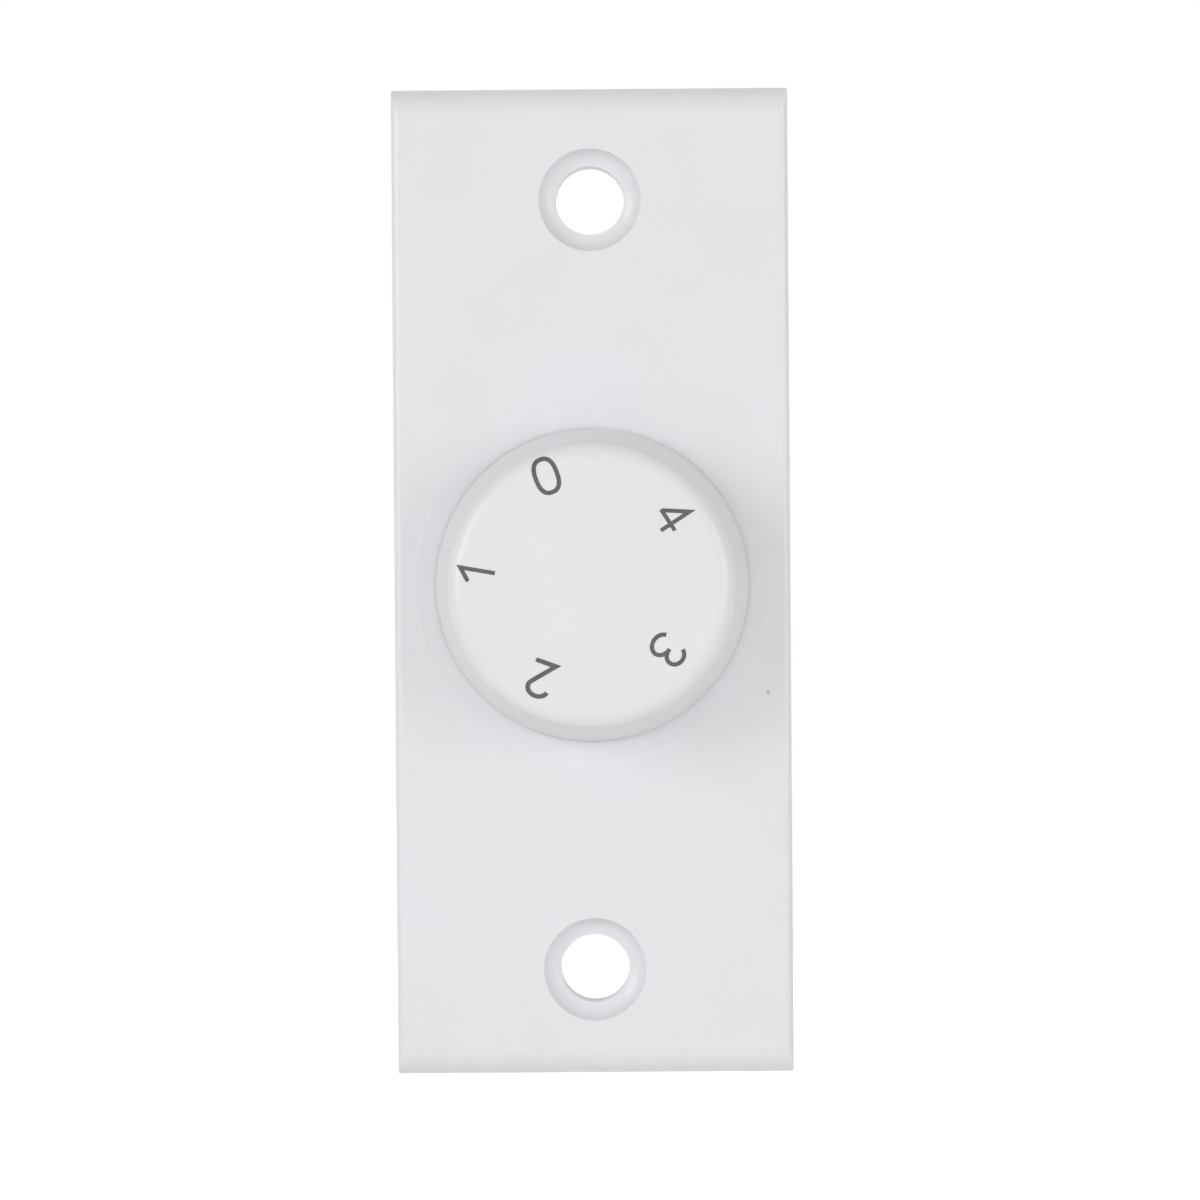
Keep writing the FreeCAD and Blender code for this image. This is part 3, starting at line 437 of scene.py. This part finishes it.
def keep_front_faces(piece):
    """Keep only the faces that look straight at the viewer of the knob, cut up finely enough to
    follow the knob's rounded edge."""
    points = piece.data.vertices
    longest = max((points[a].co - points[b].co).length for a, b in piece.data.edge_keys)
    cuts = math.ceil(longest / wrap_step)
    bpy.ops.object.mode_set(mode="EDIT")
    bpy.ops.mesh.select_all(action="SELECT")
    bpy.ops.mesh.normals_make_consistent(inside=False)
    bpy.ops.mesh.select_mode(type="FACE")
    bpy.ops.mesh.select_all(action="DESELECT")
    bpy.ops.object.mode_set(mode="OBJECT")
    for face in piece.data.polygons:
        face.select = face.normal.y > facing_viewer
    bpy.ops.object.mode_set(mode="EDIT")
    bpy.ops.mesh.delete(type="FACE")
    bpy.ops.mesh.select_all(action="SELECT")
    bpy.ops.mesh.subdivide(number_cuts=cuts)
    bpy.ops.object.mode_set(mode="OBJECT")


def lay_on_knob(piece, knob, height):
    """Project the flat ink onto the knob's face and rounded edge, and give it its thickness."""
    wrap = piece.modifiers.new("wrap", "SHRINKWRAP")
    wrap.target = knob
    wrap.wrap_method = "PROJECT"
    wrap.use_project_y = True
    wrap.use_positive_direction = True
    wrap.offset = -ink_sink
    bpy.ops.object.modifier_apply(modifier=wrap.name)
    film = piece.modifiers.new("film", "SOLIDIFY")
    film.thickness = height + ink_sink
    film.offset = 1
    bpy.ops.object.modifier_apply(modifier=film.name)


def print_number(digit, strokes, knob, front_y, ink):
    """One printed number on the knob, its top pointing away from the middle. Each stroke is laid
    on its own, a little thinner than the one before, so that no two faces lie on each other."""
    place = math.radians(number_angles[digit])
    tilt = math.radians(number_angles[digit] + number_tilts[digit])
    pieces = []
    for index, points in enumerate(strokes):
        piece = draw_stroke(points, ink_width * ink_shares[digit])
        piece.rotation_euler = (0, -tilt, 0)
        piece.location = (
            print_shift_x - print_radius * math.sin(place),
            front_y - wrap_start,
            print_shift_z + print_radius * math.cos(place),
        )
        bpy.ops.object.transform_apply(location=True, rotation=True, scale=True)
        keep_front_faces(piece)
        lay_on_knob(piece, knob, ink_height - index * stroke_step)
        pieces.append(piece)
    bpy.ops.object.select_all(action="DESELECT")
    for piece in pieces:
        piece.select_set(True)
    bpy.context.view_layer.objects.active = pieces[0]
    if len(pieces) > 1:
        bpy.ops.object.join()
    number = bpy.context.view_layer.objects.active
    number.name = f"printed_number_{digit}"
    number.data.name = number.name
    number.data.materials.clear()
    number.data.materials.append(ink)
    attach(number, "rotary")


def seen_directly(tree):
    """One for camera, glossy and transmission rays, and zero for the rays that light the object."""
    path = add(tree, "ShaderNodeLightPath")
    share = path.outputs["Is Camera Ray"]
    for ray in ("Is Glossy Ray", "Is Transmission Ray"):
        links = {0: share, 1: path.outputs[ray]}
        share = add(tree, "ShaderNodeMath", links, operation="MAXIMUM").outputs["Value"]
    return share


def set_floor(lowest):
    """Pale floor, white to the camera where no shadow falls."""
    bpy.ops.object.select_all(action="DESELECT")
    bpy.ops.mesh.primitive_plane_add(size=floor_size, location=(0, 0, lowest - floor_drop))
    floor = bpy.context.active_object
    floor.name = "floor"
    bpy.ops.object.transform_apply(location=True, rotation=True, scale=True)
    material, tree, shader, place = new_material("pale_floor", Roughness=0.9)
    shader.inputs["Base Color"].default_value = linear(floor_colour)
    glow = add(tree, "ShaderNodeMath", {0: seen_directly(tree)}, {1: floor_glow}, operation="MULTIPLY")
    tree.links.new(glow.outputs["Value"], shader.inputs["Emission Strength"])
    shader.inputs["Emission Color"].default_value = linear("#FFFFFF")
    floor.data.materials.append(material)


def set_world():
    """Even room light, and white behind the object where it is seen."""
    world = bpy.data.worlds.new("room")
    bpy.context.scene.world = world
    world.use_nodes = True
    tree = world.node_tree
    tree.nodes.clear()
    white = linear("#FFFFFF")
    room = add(tree, "ShaderNodeBackground", values={"Color": white, "Strength": room_level})
    backdrop = add(tree, "ShaderNodeBackground", values={"Color": white, "Strength": 1.0})
    links = {0: seen_directly(tree), 1: room.outputs["Background"], 2: backdrop.outputs["Background"]}
    mix = add(tree, "ShaderNodeMixShader", links)
    add(tree, "ShaderNodeOutputWorld", {"Surface": mix.outputs["Shader"]})


def add_softbox(name, across, up, power):
    """Square area light aimed at the switch from an angle to the right and an angle above."""
    turn, lift = math.radians(across), math.radians(up)
    away = Vector((math.sin(turn) * math.cos(lift), -math.cos(turn) * math.cos(lift), math.sin(lift)))
    light = bpy.data.lights.new(name, "AREA")
    light.size = softbox_size
    light.energy = power
    lamp = bpy.data.objects.new(name, light)
    lamp.location = away * softbox_distance
    lamp.rotation_euler = (-away).to_track_quat("-Z", "Y").to_euler()
    bpy.context.scene.collection.objects.link(lamp)


def set_camera():
    """Camera at the photo's place, with its lens."""
    data = bpy.data.cameras.new("camera")
    data.sensor_width = camera_sensor_mm
    data.lens = camera_lens_mm
    camera = bpy.data.objects.new("camera", data)
    camera.location = (camera_x, camera_y, camera_z)
    upright = math.radians(90 + camera_tilt)
    camera.rotation_euler = (upright, math.radians(camera_roll), math.radians(camera_turn))
    bpy.context.scene.collection.objects.link(camera)
    bpy.context.scene.camera = camera


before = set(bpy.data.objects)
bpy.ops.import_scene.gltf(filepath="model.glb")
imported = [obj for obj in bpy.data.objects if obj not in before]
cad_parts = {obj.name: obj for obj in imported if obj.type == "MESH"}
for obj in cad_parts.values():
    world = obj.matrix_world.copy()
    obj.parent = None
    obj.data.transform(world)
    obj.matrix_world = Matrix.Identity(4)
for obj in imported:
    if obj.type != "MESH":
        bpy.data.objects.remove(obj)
cad_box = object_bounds()
dress(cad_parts)
ink = ink_material()
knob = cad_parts["control_knob"]
knob_front_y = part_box("control_knob")[0][1]
for digit, strokes in enumerate(number_strokes()):
    print_number(digit, strokes, knob, knob_front_y, ink)
set_floor(cad_box[0][2])
set_world()
for name, (across, up, power) in softboxes.items():
    add_softbox(name, across, up, power)
set_camera()
bpy.context.scene.view_settings.view_transform = "Standard"
